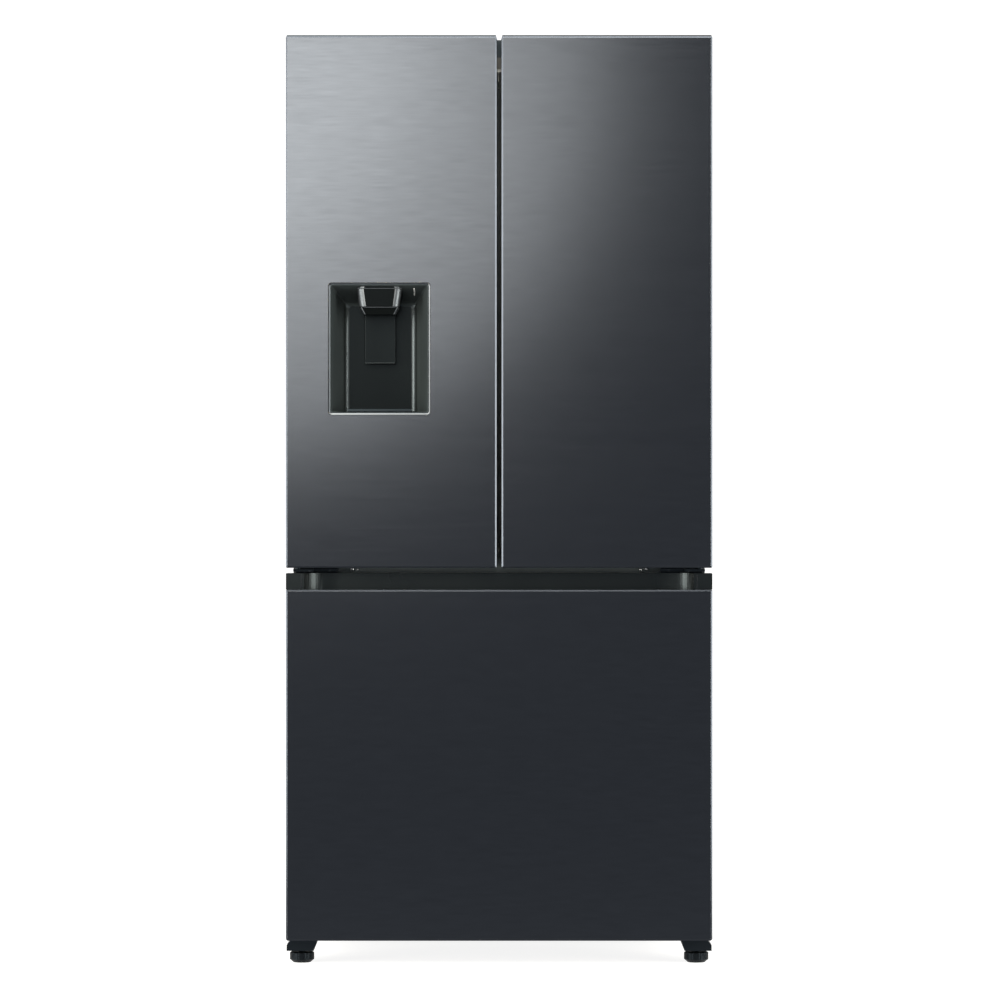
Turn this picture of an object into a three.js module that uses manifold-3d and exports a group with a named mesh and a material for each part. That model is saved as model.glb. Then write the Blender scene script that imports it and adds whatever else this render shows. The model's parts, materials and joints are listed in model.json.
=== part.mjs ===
// French door refrigerator: two side-hung doors over a pull-out freezer drawer.
// Millimetres, +Z up, front towards -Y. The origin is on the floor under the middle of the object.
import * as THREE from 'three';
import { mergeVertices } from 'three/addons/utils/BufferGeometryUtils.js';
import Module from 'manifold-3d';

const wasm = await Module();
wasm.setup();

// ---------------------------------------------------------------- driving dimensions
const WIDTH = 817;
const HEIGHT = 1779;
const DEPTH = 715;
const FIT = 0.3; // gap left between pieces that touch
const HALF = WIDTH / 2;
const FRONT = -DEPTH / 2;
const BACK = DEPTH / 2;

// Planes from front to back
const DOOR_FACE = FRONT + 1; // steel face, 1 mm behind the dispenser trim
const EDGE_FRONT = FRONT + 67.5; // front of the plastic edge strip around each door
const DOOR_BACK = FRONT + 77.5;
const PANEL_BACK = FRONT + 80; // back of the inner panel's flat border
const GASKET_BACK = FRONT + 91.7;
const CASE_FRONT = FRONT + 92;

// Heights
const DOOR_BOTTOM = 759.5;
const DRAWER_TOP = 749;
const DRAWER_FACE_TOP = 717.5;
const DRAWER_BOTTOM = 46;
const CASE_TOP = 1744;
const CASE_BOTTOM = 60;
const COVER_TOP = 1778;

// Cabinet and its two compartments (inner faces of the liners)
const CASE_HALF = 397;
const SHEET = 1;
const LINER = 2;
const FRIDGE = { half: 352, back: 290, floor: 792, ceiling: 1698 };
const FREEZER = { half: 342, floor: 112, ceiling: 712, step: 70, stepTop: 340, back: 250, slopeTop: 400 };
const FLANGE_HALF = 376; // where the steel front flange ends and the plastic one begins
const FLANGE_TOP = 1722;
const SILL_TOP = 76; // top of the front beam under the freezer
const EVAPORATOR_SPACE = { half: 262, bottom: 420, top: 700, back: 302 };
const MACHINE_ROOM = { half: 356, front: 118, top: 318 };

// Doors
const DOOR_GAP = 8;
const DOOR_INNER = DOOR_GAP / 2; // distance of each door's free edge from the middle
const SKIN_INSET = 0.8; // the steel stands this far inside the plastic edge at the sides
const SKIN_TOP_INSET = 3.2; // and below the plastic cap's top
const SKIN_CHAMFER = { width: 2.9, depth: 1.6 };
const CORNER = 2; // radius of the doors' corners, seen from the front
const DRAWER_CORNER = 5;
const EDGE = 12; // width of the plastic edge strip
const CAP = 14; // height of the plastic caps at the top and bottom
const DYKE = { inner: 72, outer: 345, bottom: 802, top: 1688, back: -235, wall: 10 };
const HINGE = { x: 386.5, y: -302.5, pin: 5, bore: 5.6 };
const HINGE_POCKET = { from: 345, floor: 1750, front: -342, wall: 12 };
const HINGE_ARM = { bottom: 1756, top: 1760, half: 15 };
const HINGE_STEP = { bottom: 752, top: 756.5, inner: 310, outer: 395.5 };

// Water dispenser in the left door
const DISPENSER = { x: -229, half: 97.7, bottom: 1052, top: 1305, corner: 7, trim: 3.2, depth: 95, wall: 2.5 };
const RECESS_BACK = { half: 64.5, bottom: 1058, top: 1268 };
const LEVER = { half: 29, bottom: 1153, top: 1256, front: -284, thickness: 6 };
const NOZZLE = { topHalf: 43, bottomHalf: 39.5, bottom: 1258, front: -352, back: -303 };
const SPOUT = { topHalf: 37, bottomHalf: 33.5, bottom: 1244.5, front: -347, back: -310 };

// Flip mullion on the left door's free edge
const MULLION = { pivotX: -51, radius: 11, tip: 0, rearTip: -4, bottom: 806, top: 1684, pin: 3, bore: 3.4 };

// Shelves and crispers
const SHELF = { half: 349, front: -140, back: 262, thickness: 5, lip: 14, rest: 6.5 };
const SHELF_HEIGHTS = { shelf_upper: 1480, shelf_middle: 1260, crisper_cover: 1040 };
const CRISPER = { width: 340, front: -85, back: 262, bottom: 792.3, height: 230, wall: 3 };

// Freezer drawer
const RUNNER = { bottom: 420, top: 460, outerBack: 240, innerBack: 200, channel: 12, ledge: 11 };
const BIN = { half: 305, front: -246, back: 50, bottom: 124, wall: 3, rim: 6 };
const TRAY = { half: 320, front: -246, back: -66, height: 125, wall: 3.5 };
const HANDLE = { half: 378, curve: 73, front: -352, back: -305, floor: 668, bottom: 640 };

// Feet and rollers
const FOOT = { x: 379.5, y: -290, radius: 23.5, height: 21, stem: 7.5, stemTop: 42, lobes: 12 };
const LEG = { bottom: 24, top: 44, front: -320, back: -200 }; // the bracket around each foot's stem
const ROLLER = { x: 360, y: 300, radius: 22, width: 18, axle: 4, bore: 4.4 };

// ---------------------------------------------------------------- colours and finishes
function finish(color, roughness, metalness = 0, opacity = 1) {
  return new THREE.MeshStandardMaterial({ color, roughness, metalness, opacity, transparent: opacity < 1 });
}
const BLACK_STEEL = finish(0x54585e, 0.38, 0.9);
const DARK_TRIM = finish(0x26292b, 0.5);
const CHROME = finish(0xc9ccce, 0.18, 1);
const GLOSS_BLACK = finish(0x1c1f20, 0.25);
const CASE_PAINT = finish(0x55585c, 0.45, 0.4);
const GALVANISED = finish(0x8d9093, 0.5, 0.8);
const HINGE_STEEL = finish(0x1d1e20, 0.5, 0.5);
const LINER_WHITE = finish(0xe9ecec, 0.4);
const FOAM = finish(0xd8cfa6, 0.9);
const RUBBER = finish(0x4a4d50, 0.8);
const CLEAR = finish(0xdfe8ea, 0.1, 0, 0.4);
const LAMP = finish(0xf7f7f0, 0.3);
const COMPRESSOR_BLACK = finish(0x141414, 0.4, 0.3);
const COPPER = finish(0x4b4c4e, 0.5, 0.6);

// ---------------------------------------------------------------- solid helpers
function solid(geometry) {
  const plain = geometry.clone();
  plain.deleteAttribute('normal');
  plain.deleteAttribute('uv');
  const merged = mergeVertices(plain, 1e-4);
  const vertProperties = new Float32Array(merged.attributes.position.array);
  const triVerts = new Uint32Array(merged.index.array);
  return new wasm.Manifold(new wasm.Mesh({ numProp: 3, vertProperties, triVerts }));
}

function geometry(manifold) {
  const mesh = manifold.getMesh();
  const made = new THREE.BufferGeometry();
  made.setAttribute('position', new THREE.BufferAttribute(mesh.vertProperties, 3));
  made.setIndex(new THREE.BufferAttribute(mesh.triVerts, 1));
  made.computeVertexNormals();
  return made;
}

// A box between two values on each axis, given in either order.
function box(xa, xb, ya, yb, za, zb) {
  const made = new THREE.BoxGeometry(Math.abs(xb - xa), Math.abs(yb - ya), Math.abs(zb - za));
  return solid(made.translate((xa + xb) / 2, (ya + yb) / 2, (za + zb) / 2));
}

// A block whose front and back faces are different rectangles { x0, x1, z0, z1 }.
function taperedBlock(front, back, yFront, yBack) {
  const made = new THREE.BoxGeometry(1, 1, 1);
  const position = made.attributes.position;
  for (let i = 0; i < position.count; i++) {
    const face = position.getY(i) < 0 ? front : back;
    const x = position.getX(i) < 0 ? face.x0 : face.x1;
    const z = position.getZ(i) < 0 ? face.z0 : face.z1;
    position.setXYZ(i, x, position.getY(i) < 0 ? yFront : yBack, z);
  }
  return solid(made);
}

function rectangle(xa, xb, z0, z1) {
  return { x0: Math.min(xa, xb), x1: Math.max(xa, xb), z0, z1 };
}

function grow(face, by) {
  return { x0: face.x0 - by, x1: face.x1 + by, z0: face.z0 - by, z1: face.z1 + by };
}

function plate(face, yFront, yBack) {
  return box(face.x0, face.x1, yFront, yBack, face.z0, face.z1);
}

// A flat frame of constant width around an opening.
function ring(outer, width, yFront, yBack) {
  return plate(outer, yFront, yBack).subtract(plate(grow(outer, -width), yFront - 1, yBack + 1));
}

// A plate with rounded corners, seen from the front; the lower and upper pairs may differ.
function roundedPlate(face, lower, upper, yFront, yBack) {
  const { x0, x1, z0, z1 } = face;
  const quarter = Math.PI / 2;
  const shape = new THREE.Shape();
  shape.absarc(x1 - lower, z0 + lower, lower, -quarter, 0, false);
  shape.absarc(x1 - upper, z1 - upper, upper, 0, quarter, false);
  shape.absarc(x0 + upper, z1 - upper, upper, quarter, 2 * quarter, false);
  shape.absarc(x0 + lower, z0 + lower, lower, 2 * quarter, 3 * quarter, false);
  const made = new THREE.ExtrudeGeometry(shape, { depth: yBack - yFront, bevelEnabled: false, curveSegments: 4 });
  return solid(made.rotateX(quarter).translate(0, yBack, 0));
}

// A sheet-metal pan: a chamfered front face with side walls running back. innerShare is how much of the
// chamfer the inside follows, so that the sheet is as thick there as on its faces.
function pan(outer, yFront, yBack, lowerCorner, upperCorner) {
  const { width, depth } = SKIN_CHAMFER;
  const body = (face, share, from) =>
    taperedBlock(grow(face, -width * share), face, from, from + depth * share)
      .add(plate(face, from + depth * share, yBack));
  const innerShare = 1 - SHEET * (width + depth - Math.hypot(width, depth)) / (width * depth);
  const inside = body(grow(outer, -SHEET), innerShare, yFront + SHEET);
  return body(outer, 1, yFront).subtract(inside.translate([0, 0.01, 0]))
    .intersect(roundedPlate(outer, lowerCorner, upperCorner, yFront - 1, yBack + 1));
}

// A solid cylinder along an axis, centred on the origin.
function cylinder(radius, length, axis = 'z', sides = 24) {
  const made = new THREE.CylinderGeometry(radius, radius, length, sides);
  if (axis === 'z') made.rotateX(Math.PI / 2);
  if (axis === 'x') made.rotateZ(Math.PI / 2);
  return solid(made);
}

// A shape drawn with y across and z up, run along X from -half to +half.
function alongX(points, half) {
  const shape = new THREE.Shape(points.map(([y, z]) => new THREE.Vector2(y, z)));
  const made = new THREE.ExtrudeGeometry(shape, { depth: 2 * half, bevelEnabled: false });
  made.applyMatrix4(new THREE.Matrix4().makeBasis(
    new THREE.Vector3(0, 1, 0), new THREE.Vector3(0, 0, 1), new THREE.Vector3(1, 0, 0)));
  return solid(made.translate(-half, 0, 0));
}

// A shape drawn in plan, run up from z0 to z1.
function alongZ(shape, z0, z1, curveSegments = 12) {
  const made = new THREE.ExtrudeGeometry(shape, { depth: z1 - z0, bevelEnabled: false, curveSegments });
  return solid(made.translate(0, 0, z0));
}

// An open-topped box with walls of one thickness, its outer corner at the given values.
function openBox(xa, xb, ya, yb, z0, z1, wall) {
  const inside = box(
    Math.min(xa, xb) + wall, Math.max(xa, xb) - wall, Math.min(ya, yb) + wall, Math.max(ya, yb) - wall,
    z0 + wall, z1 + 1);
  return box(xa, xb, ya, yb, z0, z1).subtract(inside);
}

// A round section swept along a smooth path.
function tube(path, radius, steps, sides = 6) {
  const section = new THREE.Shape();
  for (let i = 0; i < sides; i++) {
    const angle = 2 * Math.PI * i / sides;
    const point = [radius * Math.cos(angle), radius * Math.sin(angle)];
    if (i === 0) section.moveTo(...point);
    else section.lineTo(...point);
  }
  return solid(new THREE.ExtrudeGeometry(section, { steps, extrudePath: path, bevelEnabled: false }));
}

function put(group, name, material, manifold, x = 0, y = 0, z = 0) {
  const mesh = new THREE.Mesh(geometry(manifold), material);
  mesh.name = name;
  mesh.position.set(x, y, z);
  group.add(mesh);
}

// ---------------------------------------------------------------- cabinet
const FREEZER_PROFILE = [
  [FREEZER.step, FREEZER.floor], [FREEZER.step, FREEZER.stepTop],
  [FREEZER.back, FREEZER.slopeTop], [FREEZER.back, FREEZER.ceiling],
];

// The freezer compartment's space, grown by a margin and open at the front from yFront.
function freezerSpace(margin, yFront) {
  const shifts = [[1, -1], [1, -0.7], [1, -0.7], [1, 1]];
  const wall = FREEZER_PROFILE.map(([y, z], i) => [y + margin * shifts[i][0], z + margin * shifts[i][1]]);
  return alongX([[yFront, FREEZER.floor - margin], ...wall, [yFront, FREEZER.ceiling + margin]],
    FREEZER.half + margin);
}

function fridgeSpace(margin, yFront) {
  return box(-FRIDGE.half - margin, FRIDGE.half + margin, yFront, FRIDGE.back + margin,
    FRIDGE.floor - margin, FRIDGE.ceiling + margin);
}

function evaporatorSpace() {
  const { half, bottom, top, back } = EVAPORATOR_SPACE;
  return box(-half, half, FREEZER.back + LINER + FIT, back, bottom, top);
}

function cabinetShell() {
  const outer = box(-CASE_HALF, CASE_HALF, CASE_FRONT, BACK, CASE_BOTTOM, CASE_TOP);
  const inner = box(-CASE_HALF + SHEET, CASE_HALF - SHEET, CASE_FRONT + SHEET, BACK + 10, 0, CASE_TOP - SHEET);
  const opening = box(-FLANGE_HALF, FLANGE_HALF, CASE_FRONT - 5, CASE_FRONT + 5, 0, FLANGE_TOP);
  return outer.subtract(inner).subtract(opening);
}

function cabinetFoam() {
  const edge = CASE_HALF - SHEET - FIT;
  const front = CASE_FRONT + LINER + FIT;
  const rail = box(-FLANGE_HALF, FLANGE_HALF, front - 5, front + 13.5, FREEZER.ceiling + LINER, FRIDGE.floor);
  const sill = box(-FLANGE_HALF, FLANGE_HALF, front - 5, front + 18.5, 0, SILL_TOP + FIT);
  const machineRoom = box(-MACHINE_ROOM.half, MACHINE_ROOM.half, MACHINE_ROOM.front, BACK, 0, MACHINE_ROOM.top);
  return box(-edge, edge, front, BACK - 2.5, CASE_BOTTOM + 2 + FIT, CASE_TOP - SHEET - FIT)
    .subtract(fridgeSpace(LINER + FIT, front - 5))
    .subtract(freezerSpace(LINER + FIT, front - 5))
    .subtract(evaporatorSpace())
    .subtract(rail)
    .subtract(sill)
    .subtract(machineRoom);
}

function shelfRests() {
  return Object.values(SHELF_HEIGHTS).flatMap((height) => [-1, 1].map((side) =>
    box(side * (FRIDGE.half - SHELF.rest), side * (FRIDGE.half + 1), SHELF.front + 10, SHELF.back - 10,
      height - 10, height - FIT)));
}

function fridgeLiner() {
  const flange = box(-FLANGE_HALF + FIT, FLANGE_HALF - FIT, CASE_FRONT, CASE_FRONT + LINER,
    FRIDGE.floor - LINER, FLANGE_TOP - FIT);
  const tub = fridgeSpace(LINER, CASE_FRONT).add(flange).subtract(fridgeSpace(0, CASE_FRONT - 5));
  return shelfRests().reduce((made, rest) => made.add(rest), tub);
}

function freezerLiner() {
  const flange = box(-FLANGE_HALF + FIT, FLANGE_HALF - FIT, CASE_FRONT, CASE_FRONT + LINER,
    SILL_TOP + FIT, FREEZER.ceiling + LINER);
  return freezerSpace(LINER, CASE_FRONT).add(flange).subtract(freezerSpace(0, CASE_FRONT - 5));
}

function middleRail() {
  return box(-FLANGE_HALF + FIT, FLANGE_HALF - FIT, CASE_FRONT, CASE_FRONT + 15,
    FREEZER.ceiling + LINER + FIT, FRIDGE.floor - LINER - FIT);
}

// One front leg bracket: a flared skirt under the drawer with a hole for the foot's stem, and a block
// behind it that carries it up to the base plate. The outline's x is counted from the foot's axis.
const LEG_OUTLINE = [[28.5, LEG.bottom], [28.5, 35], [21.5, LEG.top], [-31.5, LEG.top], [-23.5, LEG.bottom]];

function legBracket(side) {
  const shape = new THREE.Shape(LEG_OUTLINE.map(([x, z]) => new THREE.Vector2(side * (FOOT.x + x), z)));
  const skirt = new THREE.ExtrudeGeometry(shape, { depth: LEG.back - LEG.front, bevelEnabled: false })
    .rotateX(Math.PI / 2)
    .translate(0, LEG.back, 0);
  const block = box(side * (FOOT.x + 15), side * (FOOT.x - 31), CASE_FRONT + 4, LEG.back,
    LEG.top - 4, CASE_BOTTOM + 1);
  return solid(skirt)
    .add(block)
    .subtract(cylinder(FOOT.stem + 1, 100).translate([side * FOOT.x, FOOT.y, 0]));
}

// Two ears under the base plate with the axle between them.
function rollerFork(side) {
  const ear = (offset) => box(offset - 1.5, offset + 1.5, -14, 14, -10, CASE_BOTTOM - ROLLER.radius + 1);
  return ear(-13).add(ear(13))
    .add(cylinder(ROLLER.axle, 26, 'x', 16))
    .translate([side * ROLLER.x, ROLLER.y, ROLLER.radius]);
}

function baseFrame() {
  const edge = CASE_HALF - SHEET - FIT;
  const floor = box(-edge, edge, CASE_FRONT + SHEET + FIT, BACK - 2.5, CASE_BOTTOM, CASE_BOTTOM + 2);
  const sill = box(-FLANGE_HALF + FIT, FLANGE_HALF - FIT, CASE_FRONT, CASE_FRONT + 20, CASE_BOTTOM, SILL_TOP);
  return floor.add(sill)
    .add(legBracket(-1)).add(legBracket(1))
    .add(rollerFork(-1)).add(rollerFork(1));
}

function topCover() {
  const face = (margin) => [-CASE_HALF + 1 + margin, CASE_HALF - 1 - margin];
  const outer = box(...face(0), CASE_FRONT + 3, -150, CASE_TOP + FIT, COVER_TOP);
  const inner = box(...face(2.5), CASE_FRONT + 5.5, -152.5, 0, COVER_TOP - 2.5);
  const notches = [-1, 1].map((side) => box(side * (HINGE.x + HINGE_ARM.half + 2), side * 346,
    CASE_FRONT, CASE_FRONT + 20, HINGE_ARM.bottom - 2, HINGE_ARM.top + 2));
  return outer.subtract(inner).subtract(notches[0]).subtract(notches[1]);
}

// Arm over the door with its pin pointing down, and a foot screwed to the top of the case.
function topHinge(side) {
  const arm = box(side * (HINGE.x + HINGE_ARM.half), side * (HINGE.x - HINGE_ARM.half),
    HINGE.y - HINGE_ARM.half, -205, HINGE_ARM.bottom, HINGE_ARM.top);
  const gusset = box(side * (CASE_HALF - 4.5), side * 355, CASE_FRONT + 22, -190, CASE_TOP + FIT, HINGE_ARM.top);
  const pin = cylinder(HINGE.pin, 22).translate([side * HINGE.x, HINGE.y, HINGE_ARM.bottom - 10]);
  return arm.subtract(box(side * 410, side * (CASE_HALF - 4.5), CASE_FRONT + 2, 0, 0, HEIGHT)).add(gusset).add(pin);
}

// Step bracket between the doors and the drawer, with the lower door pin pointing up.
function middleHinge(side) {
  const step = box(side * HINGE_STEP.outer, side * HINGE_STEP.inner,
    HINGE.y - 14, CASE_FRONT - FIT, HINGE_STEP.bottom, HINGE_STEP.top);
  const foot = box(side * (HINGE_STEP.outer - 3), side * (HINGE_STEP.inner + 2),
    CASE_FRONT - 5, CASE_FRONT - FIT, DRAWER_TOP - 2, HINGE_STEP.top + 1.5);
  const corner = box(side * (HINGE_STEP.inner - 5), side * (HINGE.x - 30),
    HINGE.y - 20, HINGE.y + 12, 0, HEIGHT);
  const pin = cylinder(HINGE.pin, 18).translate([side * HINGE.x, HINGE.y, HINGE_STEP.top + 6]);
  return step.subtract(corner).add(foot).add(pin);
}

function backPanel() {
  const edge = CASE_HALF - SHEET - FIT;
  return box(-edge, edge, BACK - 2.2, BACK - 1, MACHINE_ROOM.top + FIT, CASE_TOP - SHEET - FIT);
}

const INLET = { x: 325, z: 268, halfWidth: 26, halfHeight: 17 };

function machineCover() {
  const edge = CASE_HALF - SHEET - FIT;
  let made = box(-edge, edge, BACK - 2.2, BACK - 1, CASE_BOTTOM + 2 + FIT, MACHINE_ROOM.top);
  for (const x of [-230, 0]) {
    for (let row = 0; row < 6; row++) {
      const z = 110 + 28 * row;
      made = made.subtract(box(x - 85, x + 85, BACK - 5, BACK + 5, z, z + 9));
    }
  }
  return made.subtract(box(INLET.x - INLET.halfWidth - FIT, INLET.x + INLET.halfWidth + FIT, BACK - 5, BACK + 5,
    INLET.z - INLET.halfHeight - FIT, INLET.z + INLET.halfHeight + FIT));
}

// Appliance inlet: a moulded block with a recess and three contact pins.
function powerInlet() {
  const body = box(-INLET.halfWidth, INLET.halfWidth, -28, 0, -INLET.halfHeight, INLET.halfHeight);
  let made = body.subtract(box(-17, 17, -20, 5, -10, 10));
  for (const [x, z] of [[-8, -2], [8, -2], [0, 4]]) made = made.add(box(x - 1.5, x + 1.5, -22, -5, z - 3, z + 3));
  return made;
}

function compressor() {
  const profile = [[0, 0], [74, 0], [76, 6], [76, 92], [70, 122], [50, 142], [22, 150], [0, 151]];
  const dome = new THREE.LatheGeometry(profile.map(([r, z]) => new THREE.Vector2(r, z)), 28).rotateX(Math.PI / 2);
  const feet = box(-95, 95, -60, 60, -4, 3);
  return solid(dome).add(feet).add(box(70, 96, -25, 25, 30, 85));
}

// A flat serpentine coil between two end plates, with the fan's motor held in front of it.
function condenser() {
  const points = [];
  const [reach, pitch, passes] = [62, 30, 6];
  for (let pass = 0; pass < passes; pass++) {
    const side = pass % 2 ? 1 : -1;
    points.push([0, side * reach, pass * pitch], [0, -side * reach, pass * pitch]);
    if (pass < passes - 1) points.push([0, -side * (reach + 12), (pass + 0.5) * pitch]);
  }
  const path = new THREE.CatmullRomCurve3(points.map((point) => new THREE.Vector3(...point)), false, 'centripetal');
  const coil = tube(path, 4, 60);
  const plates = [-52, 52].map((y) => box(-16, 16, y - 1, y + 1, -18, 172));
  const motorArm = box(-30, -14, -53, 53, 72, 84);
  return coil.add(plates[0]).add(plates[1]).add(motorArm);
}

// Axial fan: a hub with five pitched blades, turning about X.
function condenserFan() {
  let made = cylinder(16, 24, 'x', 20);
  const blades = 5;
  for (let i = 0; i < blades; i++) {
    const blade = new THREE.BoxGeometry(2, 34, 48).rotateZ(0.5).translate(0, 0, 34)
      .rotateX(2 * Math.PI * i / blades);
    made = made.add(solid(blade));
  }
  return made;
}

// Finned evaporator: fins on two header bars.
function evaporator() {
  const [half, fins] = [240, 17];
  let made = box(-half, half, -6, 6, 40, 52).add(box(-half, half, -6, 6, 190, 202));
  for (let i = 0; i < fins; i++) {
    const x = -half + 4 + (2 * half - 8) * i / (fins - 1);
    made = made.add(box(x - 1.5, x + 1.5, -18, 18, 0, 240));
  }
  return made;
}

function airDuctCover() {
  let made = box(-110, 110, FRIDGE.back - 20, FRIDGE.back - FIT, 1075, 1680)
    .subtract(box(-106, 106, FRIDGE.back - 17, FRIDGE.back + 1, 1079, 1676));
  for (const z of [1150, 1340, 1560]) {
    for (const side of [-1, 1]) made = made.subtract(box(side * 40, side * 95, 0, FRIDGE.back - 10, z, z + 10));
  }
  return made;
}

function interiorLamp() {
  const { ceiling } = FRIDGE;
  return taperedBlock(rectangle(-150, 150, ceiling - 9, ceiling - FIT),
    rectangle(-150, 150, ceiling - 6, ceiling - FIT), -130, -80);
}

// A glass shelf with a lip along its front edge.
function shelf() {
  return box(-SHELF.half, SHELF.half, SHELF.front, SHELF.back, 0, SHELF.thickness)
    .add(box(-SHELF.half, SHELF.half, SHELF.front - 5, SHELF.front, -SHELF.lip, SHELF.thickness));
}

function crisper() {
  const half = CRISPER.width / 2;
  const grip = alongX([[0, CRISPER.height - 14], [-12, CRISPER.height - 8], [-12, CRISPER.height], [1, CRISPER.height]],
    half - 40);
  return openBox(-half, half, 0, CRISPER.back - CRISPER.front, 0, CRISPER.height, CRISPER.wall).add(grip);
}

function runnerOuter(side) {
  const wall = FREEZER.half - FIT;
  const web = box(side * wall, side * (wall - 3), CASE_FRONT + 14, RUNNER.outerBack, RUNNER.bottom, RUNNER.top);
  const lip = (z0, z1) => box(side * wall, side * (wall - RUNNER.channel), CASE_FRONT + 14, RUNNER.outerBack,
    z0, z1);
  return web.add(lip(RUNNER.bottom, RUNNER.bottom + 3)).add(lip(RUNNER.top - 3, RUNNER.top));
}

const cabinet = new THREE.Group();
put(cabinet, 'cabinet_shell', CASE_PAINT, cabinetShell());
put(cabinet, 'cabinet_foam', FOAM, cabinetFoam());
put(cabinet, 'back_panel', GALVANISED, backPanel());
put(cabinet, 'fridge_liner', LINER_WHITE, fridgeLiner());
put(cabinet, 'freezer_liner', LINER_WHITE, freezerLiner());
put(cabinet, 'middle_rail', DARK_TRIM, middleRail());
put(cabinet, 'base_frame', HINGE_STEEL, baseFrame());
put(cabinet, 'top_cover', DARK_TRIM, topCover());
for (const [side, word] of [[-1, 'left'], [1, 'right']]) {
  put(cabinet, `hinge_top_${word}`, HINGE_STEEL, topHinge(side));
  put(cabinet, `hinge_middle_${word}`, HINGE_STEEL, middleHinge(side));
  put(cabinet, `runner_outer_${word}`, GALVANISED, runnerOuter(side));
}
put(cabinet, 'machine_cover', GALVANISED, machineCover());
put(cabinet, 'power_inlet', GLOSS_BLACK, powerInlet(), INLET.x, BACK - 0.5, INLET.z);
put(cabinet, 'compressor', COMPRESSOR_BLACK, compressor(), -230, 235, CASE_BOTTOM + 6 + FIT);
put(cabinet, 'condenser', COPPER, condenser(), 60, 235, CASE_BOTTOM + 21);
put(cabinet, 'evaporator', GALVANISED, evaporator(), 0, 277, 440);
put(cabinet, 'air_duct_cover', LINER_WHITE, airDuctCover());
put(cabinet, 'interior_lamp', LAMP, interiorLamp());
for (const [name, height] of Object.entries(SHELF_HEIGHTS)) put(cabinet, name, CLEAR, shelf(), 0, 0, height);

// Pieces of the cabinet that move by themselves
put(cabinet, 'condenser_fan', DARK_TRIM, condenserFan(), 16, 235, CASE_BOTTOM + 99);
for (const [side, word] of [[-1, 'left'], [1, 'right']]) {
  put(cabinet, `crisper_${word}`, CLEAR, crisper(), side * (CRISPER.width / 2 + 6), CRISPER.front, CRISPER.bottom);
}

// ---------------------------------------------------------------- feet and rollers
// A levelling foot: a scalloped disc with a bevelled underside on a screwed stem.
function foot() {
  const [edge, bevel, waist] = [FOOT.radius, 6, 2.5];
  const profile = [[0, 0], [edge - 7, 0], [edge, bevel], [edge, FOOT.height - waist], [edge - 4, FOOT.height],
    [FOOT.stem, FOOT.height], [FOOT.stem, FOOT.stemTop], [0, FOOT.stemTop]];
  const points = profile.map(([r, z]) => new THREE.Vector2(r, z));
  let made = solid(new THREE.LatheGeometry(points, 36).rotateX(Math.PI / 2));
  const notch = cylinder(3, 40, 'z', 8);
  for (let i = 0; i < FOOT.lobes; i++) {
    const angle = 2 * Math.PI * (i + 0.5) / FOOT.lobes;
    const at = edge + 1.6;
    made = made.subtract(notch.translate([at * Math.cos(angle), at * Math.sin(angle), bevel + 20]));
  }
  return made;
}

function roller() {
  const [r, w] = [ROLLER.radius, ROLLER.width / 2];
  const profile = [[ROLLER.bore, -w], [r - 2, -w], [r, -w + 2], [r, w - 2], [r - 2, w], [ROLLER.bore, w],
    [ROLLER.bore, -w]];
  const made = new THREE.LatheGeometry(profile.map(([x, y]) => new THREE.Vector2(x, y)), 32);
  return solid(made.rotateZ(-Math.PI / 2));
}

const supports = new THREE.Group();
for (const [side, word] of [[-1, 'left'], [1, 'right']]) {
  put(supports, `foot_${word}`, DARK_TRIM, foot(), side * FOOT.x, FOOT.y);
  put(supports, `rear_roller_${word}`, DARK_TRIM, roller(), side * ROLLER.x, ROLLER.y, ROLLER.radius);
}

// ---------------------------------------------------------------- doors
function doorFaceRectangle(side) {
  return rectangle(side * DOOR_INNER, side * HALF, DOOR_BOTTOM, HEIGHT);
}

// The space at the door's top hinge corner that the hinge arm swings in.
function hingePocket(side) {
  return box(side * HINGE_POCKET.from, side * (HALF + 20), HINGE_POCKET.front, 0, HINGE_POCKET.floor, HEIGHT + 20);
}

function hingeBores(side) {
  const bore = (z) => cylinder(HINGE.bore, 40).translate([side * HINGE.x, HINGE.y, z]);
  return bore(DOOR_BOTTOM - 4).add(bore(HINGE_POCKET.floor));
}

function dispenserOpening() {
  const { x, half, bottom, top } = DISPENSER;
  return rectangle(x - half, x + half, bottom, top);
}

// The recess narrows towards the back, and its ceiling slopes down.
const RECESS_FRONT = grow(dispenserOpening(), -DISPENSER.trim - FIT - 1.5);
const RECESS_MOUTH = FRONT + 1;

function dispenserSpace(margin) {
  const back = rectangle(DISPENSER.x - RECESS_BACK.half, DISPENSER.x + RECESS_BACK.half,
    RECESS_BACK.bottom, RECESS_BACK.top);
  return taperedBlock(grow(RECESS_FRONT, margin), grow(back, margin), RECESS_MOUTH,
    FRONT + DISPENSER.depth + margin);
}

function recessCeiling(y) {
  return THREE.MathUtils.mapLinear(y, RECESS_MOUTH, FRONT + DISPENSER.depth, RECESS_FRONT.z1, RECESS_BACK.top);
}

function doorSkin(side) {
  const face = doorFaceRectangle(side);
  const outer = {
    x0: face.x0 + SKIN_INSET, x1: face.x1 - SKIN_INSET, z0: face.z0 + SKIN_INSET, z1: face.z1 - SKIN_TOP_INSET,
  };
  const behindCaps = plate(grow(outer, -SHEET - 0.1), DOOR_FACE + 10.5, DOOR_BACK);
  const open = [behindCaps.translate([0, 0, 5]), behindCaps.translate([0, 0, -5])];
  return pan(outer, DOOR_FACE, EDGE_FRONT - FIT, CORNER, CORNER)
    .subtract(open[0]).subtract(open[1])
    .subtract(hingePocket(side));
}

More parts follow.
